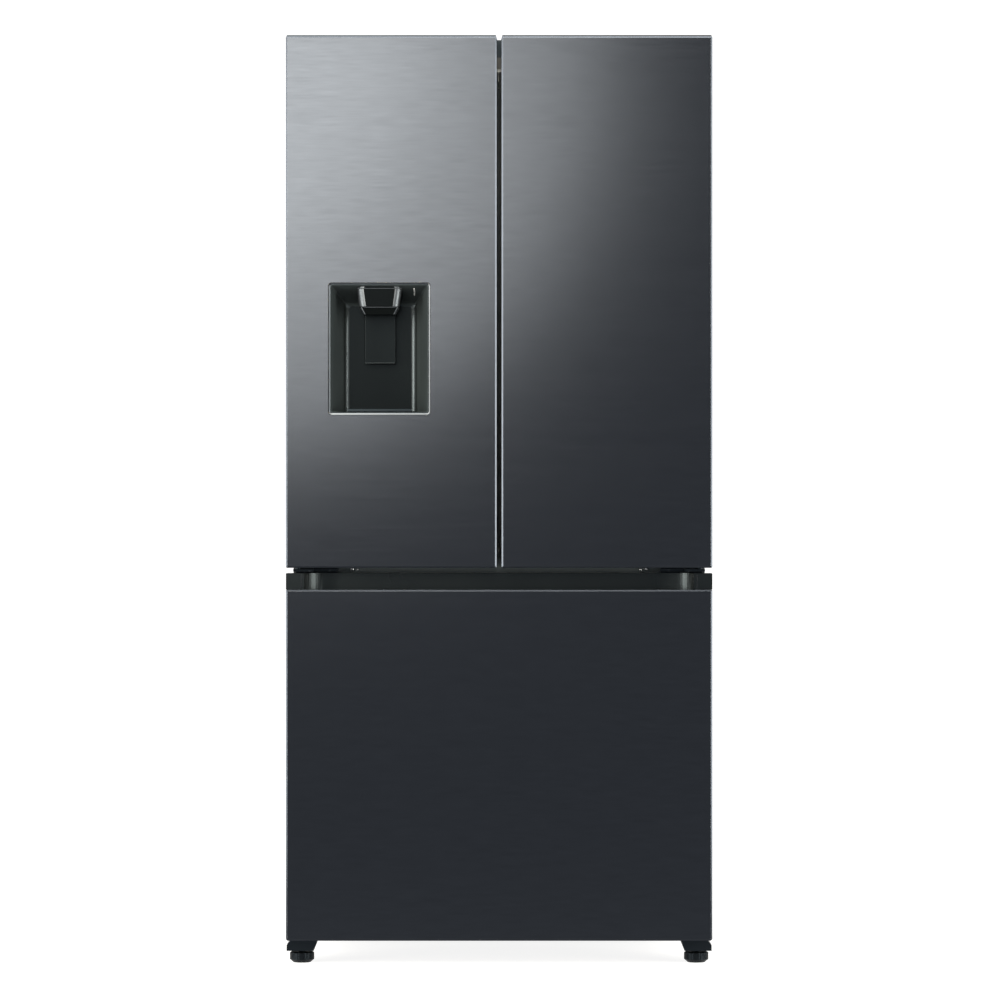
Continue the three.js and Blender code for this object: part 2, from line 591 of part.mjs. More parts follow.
// Plastic caps at the top and bottom, joined by a strip along both sides; the hinge pocket is lined.
function doorFrame(side) {
  const face = doorFaceRectangle(side);
  const inset = SKIN_INSET + SHEET + FIT;
  const cap = (z0, z1) => box(face.x0 + inset, face.x1 - inset, DOOR_FACE + 11, EDGE_FRONT, z0, z1);
  const lining = box(side * (HINGE_POCKET.from - HINGE_POCKET.wall), side * (HALF - inset),
    HINGE_POCKET.front - 3, EDGE_FRONT, HINGE_POCKET.floor - HINGE_POCKET.wall, HEIGHT - 5);
  const liningEdge = box(side * (HINGE_POCKET.from - HINGE_POCKET.wall), side * HALF,
    EDGE_FRONT, DOOR_BACK, HINGE_POCKET.floor - HINGE_POCKET.wall, HEIGHT - 5);
  return ring(face, EDGE, EDGE_FRONT, DOOR_BACK)
    .add(cap(face.z1 - CAP, face.z1)).add(cap(face.z0, face.z0 + CAP))
    .add(lining).add(liningEdge)
    .intersect(roundedPlate(face, CORNER, CORNER, FRONT, BACK))
    .subtract(hingePocket(side))
    .subtract(hingeBores(side));
}

function doorFoam(side) {
  const face = doorFaceRectangle(side);
  const inset = SKIN_INSET + SHEET + FIT;
  const [z0, z1] = [face.z0 + CAP + FIT, face.z1 - CAP - FIT];
  const main = box(face.x0 + inset, face.x1 - inset, DOOR_FACE + SHEET + FIT + 3, EDGE_FRONT - FIT, z0, z1);
  const rear = plate(grow(face, -EDGE - FIT), EDGE_FRONT - 1, DOOR_BACK);
  const corner = box(side * (HINGE_POCKET.from - HINGE_POCKET.wall - FIT), side * (HALF + 5),
    DOOR_FACE, 0, HINGE_POCKET.floor - HINGE_POCKET.wall - FIT, HEIGHT);
  const rearTrimmed = rear.intersect(box(-HALF, HALF, -HALF, HALF, z0, z1));
  return main.add(rearTrimmed).subtract(corner).subtract(hingeBores(side));
}

// Inner panel: a flat border that carries the gasket, and a raised dyke that holds the bins.
function doorPanel(side) {
  const face = doorFaceRectangle(side);
  const border = { x0: face.x0 + 4, x1: face.x1 - 8, z0: face.z0 + 6, z1: CASE_TOP - 4 };
  const dyke = rectangle(side * DYKE.inner, side * DYKE.outer, DYKE.bottom, DYKE.top);
  const [side0, side1] = side < 0 ? [border.x0 + 4, border.x1] : [border.x0, border.x1 - 4];
  return box(side0, side1, DOOR_BACK + FIT, PANEL_BACK, border.z0, border.z1)
    .add(ring(dyke, DYKE.wall, DOOR_BACK + FIT, DYKE.back));
}

function doorGasket(side) {
  const outer = rectangle(side * (DOOR_INNER + 2), side * 385, 770, 1722);
  return ring(outer, 18, PANEL_BACK + FIT, GASKET_BACK);
}

// An open bin between the dyke's side walls, drawn with its back wall's face at y 0.
const DOOR_BIN = { width: DYKE.outer - DYKE.inner - 2 * DYKE.wall - 4, depth: 105, height: 105 };
const DOOR_BIN_X = (DYKE.outer + DYKE.inner) / 2;

function doorBin() {
  const { width, depth, height } = DOOR_BIN;
  const cutDown = box(-width / 2 - 5, width / 2 + 5, depth * 0.45, depth + 5, height * 0.72, height + 5);
  return openBox(-width / 2, width / 2, 0, depth, 0, height, 3).subtract(cutDown);
}

// Lugs above and below the flip mullion, each with a pin for it to turn on.
function mullionLugs() {
  const y = CASE_FRONT + MULLION.radius;
  const lug = (z0, z1) => box(-DYKE.inner - 2, MULLION.pivotX + 8, DOOR_BACK + 1, y + 8, z0, z1);
  const pin = (z) => cylinder(MULLION.pin, 16, 'z', 16).translate([MULLION.pivotX, y, z]);
  return lug(MULLION.bottom - 9, MULLION.bottom - FIT).add(lug(MULLION.top + FIT, MULLION.top + 9))
    .add(pin(MULLION.bottom)).add(pin(MULLION.top));
}

function leftDoorPanel() {
  const { x, half, bottom, top } = DISPENSER;
  const bulge = (margin) => box(x - half - margin, x + half + margin, DOOR_BACK + FIT,
    FRONT + DISPENSER.depth + 10 + margin, bottom - margin, top + margin);
  return doorPanel(-1).add(bulge(5)).subtract(bulge(2.5)).subtract(bulge(2.5).translate([0, -10, 0]))
    .add(mullionLugs());
}

const leftDoor = new THREE.Group();
const dispenserCut = roundedPlate(grow(dispenserOpening(), FIT), DISPENSER.corner, DISPENSER.corner,
  FRONT - 5, DOOR_BACK);
put(leftDoor, 'left_door_skin', BLACK_STEEL, doorSkin(-1).subtract(dispenserCut));
put(leftDoor, 'left_door_frame', DARK_TRIM, doorFrame(-1));
put(leftDoor, 'left_door_foam', FOAM, doorFoam(-1).subtract(dispenserCut));
put(leftDoor, 'left_door_liner', LINER_WHITE, leftDoorPanel());
put(leftDoor, 'left_door_gasket', RUBBER, doorGasket(-1));
put(leftDoor, 'left_door_bin', CLEAR, doorBin(), -DOOR_BIN_X, PANEL_BACK + FIT, 830);

const rightDoor = new THREE.Group();
put(rightDoor, 'right_door_skin', BLACK_STEEL, doorSkin(1));
put(rightDoor, 'right_door_frame', DARK_TRIM, doorFrame(1));
put(rightDoor, 'right_door_foam', FOAM, doorFoam(1));
put(rightDoor, 'right_door_liner', LINER_WHITE, doorPanel(1));
put(rightDoor, 'right_door_gasket', RUBBER, doorGasket(1));
put(rightDoor, 'right_door_bin_lower', CLEAR, doorBin(), DOOR_BIN_X, PANEL_BACK + FIT, 830);
put(rightDoor, 'right_door_bin_upper', CLEAR, doorBin(), DOOR_BIN_X, PANEL_BACK + FIT, 1280);

// ---------------------------------------------------------------- dispenser
function dispenserFrame() {
  const { corner, trim } = DISPENSER;
  const inside = roundedPlate(grow(dispenserOpening(), -trim), corner - trim, corner - trim, FRONT - 1, FRONT + 9);
  return roundedPlate(dispenserOpening(), corner, corner, FRONT, FRONT + 8).subtract(inside);
}

function dispenserRecess() {
  const behindTrim = FRONT + 8 + FIT;
  const round = DISPENSER.corner - DISPENSER.trim;
  const bounds = roundedPlate(grow(dispenserOpening(), -DISPENSER.trim - FIT), round, round, FRONT + 2, behindTrim)
    .add(roundedPlate(dispenserOpening(), DISPENSER.corner, DISPENSER.corner, behindTrim, 0));
  const leverSlot = box(DISPENSER.x - LEVER.half - 2, DISPENSER.x + LEVER.half + 2,
    LEVER.front - 5, FRONT + DISPENSER.depth + 5, LEVER.bottom - 3, RECESS_BACK.top + 5);
  const pocket = box(DISPENSER.x - LEVER.half - 4, DISPENSER.x + LEVER.half + 4,
    FRONT + DISPENSER.depth - 6, FRONT + DISPENSER.depth + 8, LEVER.bottom - 5, RECESS_BACK.top - 3);
  return dispenserSpace(DISPENSER.wall).intersect(bounds)
    .add(pocket)
    .subtract(dispenserSpace(0))
    .subtract(leverSlot);
}

// Shroud at the top of the recess with the spout below it.
function dispenserNozzle() {
  const { x } = DISPENSER;
  const shroud = (half, y) => rectangle(x - half, x + half, NOZZLE.bottom, recessCeiling(y) - FIT);
  const body = taperedBlock(shroud(NOZZLE.topHalf, NOZZLE.front), shroud(NOZZLE.bottomHalf, NOZZLE.back),
    NOZZLE.front, NOZZLE.back);
  const spout = taperedBlock(rectangle(x - SPOUT.topHalf, x + SPOUT.topHalf, SPOUT.bottom, NOZZLE.bottom + 2),
    rectangle(x - SPOUT.bottomHalf, x + SPOUT.bottomHalf, SPOUT.bottom + 3, NOZZLE.bottom + 2),
    SPOUT.front, SPOUT.back);
  const outlet = cylinder(5, 30).translate([x, -326, SPOUT.bottom]);
  return body.add(spout).subtract(outlet);
}

// Paddle hung from a pivot rod at its top.
function dispenserLever() {
  const { half, bottom, top, front, thickness } = LEVER;
  const paddle = box(-half, half, front, front + thickness, bottom, top);
  return paddle.add(cylinder(4, 2 * half, 'x', 12).translate([0, front + thickness / 2, top - 2]));
}

function dispenserTray() {
  const half = RECESS_BACK.half - 3;
  let made = box(-half, half, FRONT + 16, FRONT + DISPENSER.depth - 8, 0, 5);
  const slots = 6;
  for (let i = 0; i < slots; i++) {
    const y = FRONT + 24 + 10 * i;
    made = made.subtract(box(-half + 12, half - 12, y, y + 4, 1.5, 10));
  }
  return made;
}

// Removable tank behind the dispenser, with a filler opening in its top.
function waterTank() {
  const [half, depth, height, wall] = [122, 92, 270, 3];
  return box(-half, half, 0, depth, 0, height)
    .subtract(box(-half + wall, half - wall, wall, depth - wall, wall, height - wall))
    .subtract(box(-half + 25, half - 25, 18, depth - 18, height - 10, height + 5));
}

put(leftDoor, 'dispenser_frame', CHROME, dispenserFrame());
put(leftDoor, 'dispenser_recess', GLOSS_BLACK, dispenserRecess());
put(leftDoor, 'dispenser_nozzle', GLOSS_BLACK, dispenserNozzle());
put(leftDoor, 'dispenser_tray', GLOSS_BLACK, dispenserTray(), DISPENSER.x, 0, RECESS_BACK.bottom + 0.5);
put(leftDoor, 'dispenser_lever', GLOSS_BLACK, dispenserLever(), DISPENSER.x, 0, 0);
put(leftDoor, 'water_tank', CLEAR, waterTank(), -DOOR_BIN_X, PANEL_BACK + FIT, 1330);

// ---------------------------------------------------------------- flip mullion
// A vertical bar on the left door. Its hinged end is round about the pivot, its free end is cut back
// to follow the arc that it swings through.
function flipMullion() {
  const { pivotX, radius, tip, rearTip, bottom, top } = MULLION;
  const pivotY = CASE_FRONT + radius;
  const shape = new THREE.Shape();
  shape.moveTo(pivotX, pivotY - radius);
  shape.lineTo(tip, pivotY - radius);
  shape.lineTo(rearTip, pivotY + radius);
  shape.lineTo(pivotX, pivotY + radius);
  shape.absarc(pivotX, pivotY, radius, Math.PI / 2, 3 * Math.PI / 2, false);
  const bore = (z) => cylinder(MULLION.bore, 24, 'z', 16).translate([pivotX, pivotY, z]);
  return alongZ(shape, bottom, top, 10).subtract(bore(bottom)).subtract(bore(top));
}

put(leftDoor, 'flip_mullion', DARK_TRIM, flipMullion());

// ---------------------------------------------------------------- freezer drawer
const drawerFace = rectangle(-HALF, HALF, DRAWER_BOTTOM, DRAWER_TOP);

function drawerSkin() {
  const outer = {
    x0: -HALF + SKIN_INSET, x1: HALF - SKIN_INSET, z0: DRAWER_BOTTOM + SKIN_INSET, z1: DRAWER_FACE_TOP,
  };
  const behind = plate(grow(outer, -SHEET - 0.1), DOOR_FACE + 10.5, DOOR_BACK);
  return pan(outer, DOOR_FACE, EDGE_FRONT - FIT, DRAWER_CORNER, SHEET)
    .subtract(behind.translate([0, 0, 5])).subtract(behind.translate([0, 0, -5]));
}

// The grip channel behind the top edge: its back wall curves forward at both ends.
function handlePocket() {
  const { half, curve, front, back, floor } = HANDLE;
  const shape = new THREE.Shape();
  shape.moveTo(-half, front);
  shape.lineTo(half, front);
  shape.absellipse(half - curve, front, curve, back - front, 0, Math.PI / 2, false);
  shape.lineTo(curve - half, back);
  shape.absellipse(curve - half, front, curve, back - front, Math.PI / 2, Math.PI, false);
  return alongZ(shape, floor, DRAWER_TOP + 10, 10);
}

function drawerFrame() {
  const inset = SKIN_INSET + SHEET + FIT;
  const handleBlock = box(-HALF + inset, HALF - inset, DOOR_FACE + 21, DOOR_BACK, HANDLE.bottom, DRAWER_FACE_TOP + 1)
    .add(box(-HALF, HALF, DOOR_FACE + 21, DOOR_BACK, DRAWER_FACE_TOP + FIT, DRAWER_TOP));
  const frontWall = box(-HALF + inset + 3, HALF - inset - 3, DOOR_FACE + SHEET + FIT, DOOR_FACE + 22,
    HANDLE.bottom, DRAWER_FACE_TOP - 5);
  const bottomCap = box(-HALF + inset, HALF - inset, DOOR_FACE + 11, EDGE_FRONT, DRAWER_BOTTOM, DRAWER_BOTTOM + CAP);
  return ring(drawerFace, EDGE, EDGE_FRONT, DOOR_BACK)
    .add(handleBlock).add(frontWall).add(bottomCap)
    .intersect(roundedPlate(drawerFace, DRAWER_CORNER, SHEET, FRONT, BACK))
    .subtract(handlePocket());
}

function drawerFoam() {
  const inset = SKIN_INSET + SHEET + FIT;
  const main = box(-HALF + inset, HALF - inset, DOOR_FACE + SHEET + FIT + 3, EDGE_FRONT - FIT,
    DRAWER_BOTTOM + CAP + FIT, HANDLE.bottom - FIT);
  const rear = box(-HALF + EDGE + FIT, HALF - EDGE - FIT, EDGE_FRONT - 1, DOOR_BACK,
    DRAWER_BOTTOM + CAP + FIT, HANDLE.bottom - FIT);
  return main.add(rear);
}

function drawerPanel() {
  const border = rectangle(-HALF + 8, HALF - 8, 70, 742);
  const dyke = rectangle(-330, 330, 122, 700);
  return plate(border, DOOR_BACK + FIT, PANEL_BACK).add(ring(dyke, 10, DOOR_BACK + FIT, PANEL_BACK + 24));
}

function drawerGasket() {
  return ring(rectangle(-385, 385, 88, 736), 18, PANEL_BACK + FIT, GASKET_BACK);
}

// Rail fixed to the drawer, running in the outer channel, with a ledge that carries the bin's rim.
function runnerInner(side) {
  const outside = FREEZER.half - FIT - 3.6;
  const inside = FREEZER.half - RUNNER.channel - 1.5;
  const [y0, z0, z1] = [PANEL_BACK + FIT, RUNNER.bottom + 3.6, RUNNER.top - 3.6];
  const bar = box(side * outside, side * (outside - 7), y0 + 27, RUNNER.innerBack, z0, z1);
  const ledge = box(side * (outside - 6), side * (inside - RUNNER.ledge), y0 + 27, BIN.back - 5, z0 + 6, z0 + 9);
  const bracket = box(side * outside, side * (outside - 7), y0, y0 + 40, z0, z1);
  return bar.add(ledge).add(bracket);
}

const RIM_TOP = RUNNER.bottom + 12.6 + FIT + BIN.rim;

function freezerBin() {
  const tub = openBox(-BIN.half, BIN.half, BIN.front, BIN.back, BIN.bottom, RIM_TOP, BIN.wall);
  const rim = box(-BIN.half - 18, BIN.half + 18, BIN.front + 8, BIN.back - 8, RIM_TOP - BIN.rim, RIM_TOP)
    .subtract(box(-BIN.half + 1, BIN.half - 1, BIN.front - 10, BIN.back + 10, 0, HEIGHT));
  return tub.add(rim);
}

// The shallow upper tray stands on the bin's rim and slides back along it.
function freezerTray() {
  return openBox(-TRAY.half, TRAY.half, 0, TRAY.back - TRAY.front, 0, TRAY.height, TRAY.wall);
}

const drawer = new THREE.Group();
put(drawer, 'drawer_skin', BLACK_STEEL, drawerSkin());
put(drawer, 'drawer_frame', DARK_TRIM, drawerFrame());
put(drawer, 'drawer_foam', FOAM, drawerFoam());
put(drawer, 'drawer_liner', LINER_WHITE, drawerPanel());
put(drawer, 'drawer_gasket', RUBBER, drawerGasket());
put(drawer, 'runner_inner_left', GALVANISED, runnerInner(-1));
put(drawer, 'runner_inner_right', GALVANISED, runnerInner(1));
put(drawer, 'freezer_bin', CLEAR, freezerBin());
put(drawer, 'freezer_tray', CLEAR, freezerTray(), 0, TRAY.front, RIM_TOP + FIT);

// ---------------------------------------------------------------- the whole object
const refrigerator = new THREE.Group();
refrigerator.add(cabinet, supports, leftDoor, rightDoor, drawer);

export default refrigerator;
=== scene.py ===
"""Looks of a French door refrigerator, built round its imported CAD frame. Metres, +Z up, front towards -Y."""

import json
import math

import bmesh
import bpy
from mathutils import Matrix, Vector


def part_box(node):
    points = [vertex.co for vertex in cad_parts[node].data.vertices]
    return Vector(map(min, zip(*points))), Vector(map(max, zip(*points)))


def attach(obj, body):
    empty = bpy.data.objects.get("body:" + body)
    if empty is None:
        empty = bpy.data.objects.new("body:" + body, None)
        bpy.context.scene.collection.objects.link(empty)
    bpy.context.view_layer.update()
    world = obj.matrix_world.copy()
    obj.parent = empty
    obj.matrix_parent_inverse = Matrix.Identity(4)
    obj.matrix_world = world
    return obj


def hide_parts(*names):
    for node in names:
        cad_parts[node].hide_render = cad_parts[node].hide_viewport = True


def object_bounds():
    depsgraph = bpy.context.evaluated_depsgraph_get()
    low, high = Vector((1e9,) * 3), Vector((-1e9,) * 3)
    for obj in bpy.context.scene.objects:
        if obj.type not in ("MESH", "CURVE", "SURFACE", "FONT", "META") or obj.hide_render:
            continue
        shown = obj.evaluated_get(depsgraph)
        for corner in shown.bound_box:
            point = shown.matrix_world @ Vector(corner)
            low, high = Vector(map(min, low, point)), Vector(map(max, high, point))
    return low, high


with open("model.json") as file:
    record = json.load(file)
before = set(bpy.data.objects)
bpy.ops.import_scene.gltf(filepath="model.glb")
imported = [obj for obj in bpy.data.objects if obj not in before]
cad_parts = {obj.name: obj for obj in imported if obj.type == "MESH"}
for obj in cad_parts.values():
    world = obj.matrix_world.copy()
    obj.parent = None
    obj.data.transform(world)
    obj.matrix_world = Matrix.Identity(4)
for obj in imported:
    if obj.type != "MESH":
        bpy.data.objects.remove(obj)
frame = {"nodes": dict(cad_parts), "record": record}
CAD_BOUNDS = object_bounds()
NODES = frame["nodes"]
LOW = Vector(CAD_BOUNDS[0])
FRONT = LOW.y
MM = 0.001
WELD_DISTANCE = 0.00001
WHITE = (1, 1, 1)
COOL = (0.62, 0.80, 1.0)  # evens out the warm lights in a black plastic's reflections

CAMERA_DISTANCE = 8.5
CAMERA_HEIGHT = 0.8894
CAMERA_X = 0.0017
FRAME_WIDTH = 1.9108  # what the camera sees across at the front of the doors
SENSOR = 36
FLOOR_SIZE = 40
FLOOR_COLOUR = (0.22, 0.22, 0.22)
FLOOR_GLOW = 0.86  # a floor lit from below, so that little shadow shows under the object

WORLD_STRENGTH = 1.15
KEY_CENTRE = (-0.70, FRONT - 1.75, 1.915)
KEY_DISCS = ((0.53, 24.0), (0.92, 12.6))  # (radius, radiance)
KEY_COLOUR = (1.09, 1, 0.84)
KEY_SPREAD = math.radians(110)
SIDE_COLOUR = (1.05, 1, 0.86)
SIDE_SIZE = (0.6, 2.2)
SIDE_POWER = 45
STRIP_COLOUR = (1.05, 1, 0.88)
STRIP_POWER = 46
STRIP_SPREAD = math.radians(100)
TOP_SIZE = (2.0, 0.9)
TOP_POWER = 6.0
TOP_SPREAD = math.radians(32)  # narrow, so that only the top of the doors and the case is lit


# ---------------------------------------------------------------- stage
def add_camera():
    data = bpy.data.cameras.new("camera")
    data.sensor_width = SENSOR
    data.lens = SENSOR * CAMERA_DISTANCE / FRAME_WIDTH
    camera = bpy.data.objects.new("camera", data)
    camera.location = (CAMERA_X, FRONT - CAMERA_DISTANCE, CAMERA_HEIGHT)
    camera.rotation_euler = (math.pi / 2, 0, 0)
    bpy.context.scene.collection.objects.link(camera)
    bpy.context.scene.camera = camera


def add_area_light(name, place, target, size, power, colour, shape="RECTANGLE"):
    data = bpy.data.lights.new(name, "AREA")
    data.shape = shape
    data.size, data.size_y = size
    data.energy = power
    data.color = colour
    light = bpy.data.objects.new(name, data)
    light.location = place
    light.rotation_euler = (Vector(target) - Vector(place)).to_track_quat("-Z", "Y").to_euler()
    light.visible_camera = False
    bpy.context.scene.collection.objects.link(light)
    return light


def add_soft_light(centre, rings, colour, spread):
    """A round soft light that is brightest in its middle: discs of (radius, radiance) in one plane."""
    target = (centre[0], FRONT, centre[2])
    half = spread / 2
    gain = math.tan(half) / (math.tan(half) - half)  # a narrow spread brightens the middle of the beam
    for number, (radius, radiance) in enumerate(rings, 1):
        power = 4 * math.pi * radius ** 2 * radiance / gain
        size = (2 * radius, 2 * radius)
        light = add_area_light(f"soft_{number}", centre, target, size, power, colour, "ELLIPSE")
        light.data.spread = spread


def add_world(strength):
    world = bpy.data.worlds.new("studio")
    bpy.context.scene.world = world
    world.use_nodes = True
    background = world.node_tree.nodes["Background"]
    background.inputs["Color"].default_value = (*WHITE, 1)
    background.inputs["Strength"].default_value = strength


def add_floor():
    bpy.ops.mesh.primitive_plane_add(size=FLOOR_SIZE, location=(0, 0, LOW.z))
    floor = bpy.context.object
    floor.name = "floor"
    material = plain_material("floor_white", FLOOR_COLOUR, 0.9)
    shader = material.node_tree.nodes["Principled BSDF"]
    set_inputs(shader, Emission_Color=(*WHITE, 1), Emission_Strength=FLOOR_GLOW)
    floor.data.materials.append(material)


def add_lights():
    add_soft_light(KEY_CENTRE, KEY_DISCS, KEY_COLOUR, KEY_SPREAD)
    for side, name in ((-1, "left"), (1, "right")):
        place = (side * 2.6, FRONT - 0.1, 1.1)
        add_area_light(f"side_{name}", place, (0, FRONT, 0.95), SIDE_SIZE, SIDE_POWER, SIDE_COLOUR)
        place = (side * 2.2, FRONT - 1.3, 1.0)
        strip = add_area_light(f"strip_{name}", place, (0, FRONT, 1.0), SIDE_SIZE, STRIP_POWER, STRIP_COLOUR)
        strip.data.spread = STRIP_SPREAD
    top = add_area_light("top", (0, FRONT - 1.0, 3.4), (0, FRONT, 1.5), TOP_SIZE, TOP_POWER, STRIP_COLOUR)
    top.data.spread = TOP_SPREAD


# ---------------------------------------------------------------- material parts
NOISE_LOW, NOISE_HIGH = 0.3, 0.7  # nearly all of a noise texture's values lie between these


def new_material(name):
    material = bpy.data.materials.new(name)
    material.use_nodes = True
    return material, material.node_tree.nodes, material.node_tree.links


def set_inputs(shader, **values):
    for socket, value in values.items():
        shader.inputs[socket.replace("_", " ")].default_value = value


def plain_material(name, colour, roughness):
    material, nodes, _ = new_material(name)
    set_inputs(nodes["Principled BSDF"], Base_Color=(*colour, 1), Roughness=roughness)
    return material


def mapped_noise(nodes, links, scale, detail=3.0):
    """Noise in the object's own coordinates, stretched by a scale for each axis."""
    place = nodes.new("ShaderNodeTexCoord")
    mapping = nodes.new("ShaderNodeMapping")
    mapping.inputs["Scale"].default_value = scale
    noise = nodes.new("ShaderNodeTexNoise")
    noise.inputs["Scale"].default_value = 1.0
    noise.inputs["Detail"].default_value = detail
    links.new(place.outputs["Object"], mapping.inputs["Vector"])
    links.new(mapping.outputs["Vector"], noise.inputs["Vector"])
    return noise.outputs["Fac"]


def spread(nodes, links, factor, low, high):
    """The noise's middle range mapped to low..high."""
    scale = nodes.new("ShaderNodeMapRange")
    scale.inputs["From Min"].default_value = NOISE_LOW
    scale.inputs["From Max"].default_value = NOISE_HIGH
    scale.inputs["To Min"].default_value = low
    scale.inputs["To Max"].default_value = high
    links.new(factor, scale.inputs["Value"])
    return scale.outputs["Result"]


def add_bump(nodes, links, shader, height, strength, distance):
    bump = nodes.new("ShaderNodeBump")
    bump.inputs["Strength"].default_value = strength
    bump.inputs["Distance"].default_value = distance
    links.new(height, bump.inputs["Height"])
    links.new(bump.outputs["Normal"], shader.inputs["Normal"])


def tint(nodes, links, shader, factor, dark, light):
    ramp = nodes.new("ShaderNodeMix")
    ramp.data_type = "RGBA"
    ramp.inputs["A"].default_value = (*dark, 1)
    ramp.inputs["B"].default_value = (*light, 1)
    links.new(factor, ramp.inputs["Factor"])
    links.new(ramp.outputs["Result"], shader.inputs["Base Color"])


def scaled(colour, by):
    return tuple(channel * by for channel in colour)


# ---------------------------------------------------------------- materials
def brushed_metal(name, colour, roughness, grain=(20, 20, 430)):
    """Metal with fine horizontal brushing: short streaks in its colour, gloss and surface."""
    material, nodes, links = new_material(name)
    shader = nodes["Principled BSDF"]
    set_inputs(shader, Metallic=1.0)
    fine = mapped_noise(nodes, links, grain, detail=4)
    broad = mapped_noise(nodes, links, (4, 4, 170), detail=3)
    links.new(spread(nodes, links, broad, roughness - 0.012, roughness + 0.012), shader.inputs["Roughness"])
    tint(nodes, links, shader, spread(nodes, links, fine, 0, 1), scaled(colour, 0.90), scaled(colour, 1.10))
    add_bump(nodes, links, shader, fine, 0.05, 0.0002)
    return material


def moulded_plastic(name, colour, roughness, texture=1400, bump=0.08, specular=0.5, gloss=WHITE):
    """Plastic with a fine moulded grain and a slight change of gloss across it."""
    material, nodes, links = new_material(name)
    shader = nodes["Principled BSDF"]
    set_inputs(shader, Specular_IOR_Level=specular, Specular_Tint=(*gloss, 1))
    grain = mapped_noise(nodes, links, (texture,) * 3, detail=2)
    broad = mapped_noise(nodes, links, (9, 9, 9), detail=3)
    links.new(spread(nodes, links, broad, roughness * 0.9, roughness * 1.1), shader.inputs["Roughness"])
    tint(nodes, links, shader, spread(nodes, links, broad, 0, 1), scaled(colour, 0.95), scaled(colour, 1.05))
    add_bump(nodes, links, shader, grain, bump, 0.0001)
    return material


def painted_sheet(name, colour, roughness, metallic=0.0, specular=0.5, gloss=WHITE):
    """Powder-coated or plated sheet with a faint orange-peel surface."""
    material, nodes, links = new_material(name)
    shader = nodes["Principled BSDF"]
    set_inputs(shader, Metallic=metallic, Specular_IOR_Level=specular, Specular_Tint=(*gloss, 1))
    peel = mapped_noise(nodes, links, (420, 420, 420), detail=1)
    broad = mapped_noise(nodes, links, (5, 5, 5), detail=4)
    links.new(spread(nodes, links, broad, roughness - 0.05, roughness + 0.05), shader.inputs["Roughness"])
    tint(nodes, links, shader, spread(nodes, links, broad, 0, 1), scaled(colour, 0.93), scaled(colour, 1.06))
    add_bump(nodes, links, shader, peel, 0.12, 0.0003)
    return material


def polished_metal(name, colour, roughness):
    material, nodes, links = new_material(name)
    shader = nodes["Principled BSDF"]
    set_inputs(shader, Metallic=1.0)
    broad = mapped_noise(nodes, links, (40, 40, 40), detail=2)
    links.new(spread(nodes, links, broad, roughness * 0.8, roughness * 1.2), shader.inputs["Roughness"])
    tint(nodes, links, shader, spread(nodes, links, broad, 0, 1), scaled(colour, 0.97), colour)
    return material


def clear_sheet(name, colour, roughness, transmission, ior=1.46):
    """Clear plastic or glass with a faint unevenness."""
    material, nodes, links = new_material(name)
    shader = nodes["Principled BSDF"]
    set_inputs(shader, Transmission_Weight=transmission, IOR=ior)
    ripple = mapped_noise(nodes, links, (30, 30, 30), detail=2)
    links.new(spread(nodes, links, ripple, roughness * 0.6, roughness * 1.4), shader.inputs["Roughness"])
    tint(nodes, links, shader, spread(nodes, links, ripple, 0, 1), scaled(colour, 0.97), colour)
    add_bump(nodes, links, shader, ripple, 0.02, 0.001)
    return material


def insulation_foam(name, colour):
    material, nodes, links = new_material(name)
    shader = nodes["Principled BSDF"]
    set_inputs(shader, Roughness=0.95)
    cells = mapped_noise(nodes, links, (260, 260, 260), detail=5)
    tint(nodes, links, shader, spread(nodes, links, cells, 0, 1), scaled(colour, 0.8), colour)
    add_bump(nodes, links, shader, cells, 0.4, 0.001)
    return material


# Colours are darker than in daylight, because the studio is bright enough to make the floor white.
MATERIALS = {
    "black_steel": brushed_metal("black_steel", (0.0168, 0.0192, 0.0238), 0.25),
    "dark_trim": moulded_plastic("dark_trim", (0.0020, 0.0026, 0.0029), 0.30, specular=0.12, gloss=COOL),
    "gloss_black": moulded_plastic("gloss_black", (0.0016, 0.0022, 0.0026), 0.2, bump=0.01, specular=0.10,
                                   gloss=COOL),
    "chrome_trim": polished_metal("chrome_trim", (0.034, 0.038, 0.044), 0.16),
    "case_paint": painted_sheet("case_paint", (0.018, 0.020, 0.022), 0.42, specular=0.3),
    "galvanised": painted_sheet("galvanised", (0.46, 0.47, 0.48), 0.42, metallic=0.7),
    "hinge_steel": painted_sheet("hinge_steel", (0.0018, 0.0022, 0.0026), 0.35, specular=0.14, gloss=COOL),
    "liner_white": moulded_plastic("liner_white", (0.26, 0.272, 0.276), 0.36, texture=700),
    "foam": insulation_foam("foam", (0.72, 0.63, 0.36)),
    "gasket_rubber": moulded_plastic("gasket_rubber", (0.012, 0.014, 0.015), 0.6, specular=0.2),
    "clear_plastic": clear_sheet("clear_plastic", (0.90, 0.94, 0.95), 0.08, 0.9),
    "shelf_glass": clear_sheet("shelf_glass", (0.86, 0.95, 0.92), 0.02, 0.95, ior=1.5),
    "lamp_lens": moulded_plastic("lamp_lens", (0.9, 0.9, 0.86), 0.3),
    "compressor_black": painted_sheet("compressor_black", (0.010, 0.010, 0.010), 0.3),
    "coil_steel": painted_sheet("coil_steel", (0.03, 0.03, 0.032), 0.4),
}
# A lighter copy of the door steel for the bevelled edges: a painted highlight along the edges, on top of the
# real lights that the bevels catch.
STEEL_EDGE_HIGHLIGHT = polished_metal("steel_edge_painted_highlight", (0.066, 0.070, 0.076), 0.22)
# The middle rail's black plastic, made far lighter than the other black trim: painted light, because the rail
# sits in shade deep in the gap between the doors and the drawer.
RAIL_PAINTED_LIGHT = moulded_plastic("rail_black_painted_light", (0.048, 0.055, 0.057), 0.45, specular=0.2, gloss=COOL)
